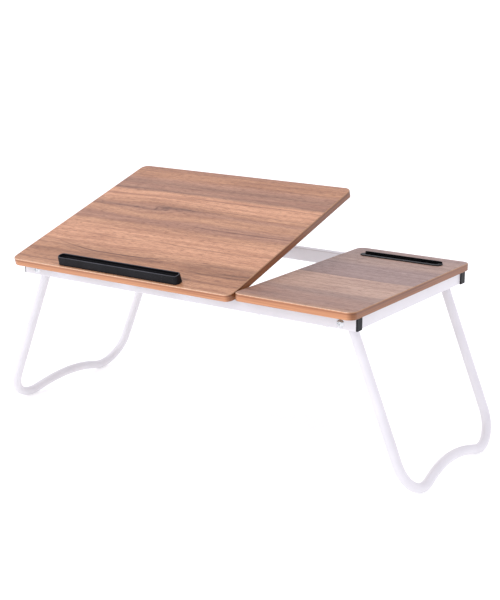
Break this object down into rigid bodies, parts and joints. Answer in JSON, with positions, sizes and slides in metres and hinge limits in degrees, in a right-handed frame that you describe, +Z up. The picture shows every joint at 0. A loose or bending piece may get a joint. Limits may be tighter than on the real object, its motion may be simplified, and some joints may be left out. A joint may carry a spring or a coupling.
{
  "type": "folding lap table",
  "caption": "Lap table with a tilting reading board beside a fixed board on a white tube frame; wave-bottom legs fold inwards.",
  "frame": {"origin": "on the floor, under the middle of the table", "axes": "+X along the table to the fixed-board end, +Y to the rear, +Z up"},
  "size_m": [0.6762, 0.32, 0.327],
  "materials": {
    "walnut_laminate": "satin",
    "white_powder_coat": "semi-gloss",
    "black_plastic": "satin",
    "white_nylon": "satin",
    "rubber_pad": "matte",
    "nickel_plated_wire": "bright",
    "zinc_plated_steel": "bright"
  },
  "bodies": {
    "frame": {"fixed_board": "walnut_laminate", "fixed_board_screws": "zinc_plated_steel", "front_left_end_cap": "black_plastic", "front_rail": "white_powder_coat", "front_right_end_cap": "black_plastic", "hinge_frame_leaf_left": "white_powder_coat", "hinge_frame_leaf_middle": "white_powder_coat", "hinge_frame_leaf_right": "white_powder_coat", "hinge_pin_left": "zinc_plated_steel", "hinge_pin_middle": "zinc_plated_steel", "hinge_pin_right": "zinc_plated_steel", "hinge_rivets": "zinc_plated_steel", "left_end_rail": "white_powder_coat", "left_prop_bush": "white_nylon", "leg_lock_nuts": "zinc_plated_steel", "leg_pivot_bolts": "zinc_plated_steel", "leg_spacers": "white_nylon", "leg_stop_pads": "rubber_pad", "middle_rail": "white_powder_coat", "nut_washers": "zinc_plated_steel", "rear_left_end_cap": "black_plastic", "rear_rail": "white_powder_coat", "rear_right_end_cap": "black_plastic", "right_end_rail": "white_powder_coat", "right_prop_bush": "white_nylon", "tablet_slot_insert": "black_plastic"},
    "tilting_board": {"book_stop": "black_plastic", "book_stop_screws": "zinc_plated_steel", "hinge_board_leaf_left": "white_powder_coat", "hinge_board_leaf_middle": "white_powder_coat", "hinge_board_leaf_right": "white_powder_coat", "hinge_screws": "zinc_plated_steel", "left_rack": "black_plastic", "rack_screws": "zinc_plated_steel", "right_rack": "black_plastic", "tilting_board": "walnut_laminate"},
    "prop": {"prop_wire": "nickel_plated_wire"},
    "left_leg": {"left_leg_front_plug": "white_nylon", "left_leg_rear_plug": "white_nylon", "left_leg_tube": "white_powder_coat"},
    "right_leg": {"right_leg_front_plug": "white_nylon", "right_leg_rear_plug": "white_nylon", "right_leg_tube": "white_powder_coat"}
  },
  "joints": [
    {"name": "board_tilt", "type": "hinge", "parent": "frame", "child": "tilting_board", "pos_m": [0, -0.1414, 0.2278], "axis": [1, 0, 0], "range_deg": [-17.1, 17.9]},
    {"name": "prop_fold", "type": "hinge", "parent": "frame", "child": "prop", "pos_m": [0, -0.0264, 0.2243], "axis": [1, 0, 0], "range_deg": [-34.2, 35.8]},
    {"name": "right_leg_fold", "type": "hinge", "parent": "frame", "child": "right_leg", "pos_m": [0.246, 0.00835, 0.2187], "axis": [0, 1, 0], "range_deg": [0, 110]},
    {"name": "left_leg_fold", "type": "hinge", "parent": "frame", "child": "left_leg", "pos_m": [-0.246, 0.00835, 0.2187], "axis": [0, -1, 0], "range_deg": [0, 110]}
  ],
  "couplings": [
    {"joint": "prop_fold", "follows": "board_tilt", "ratio": 2}
  ]
}
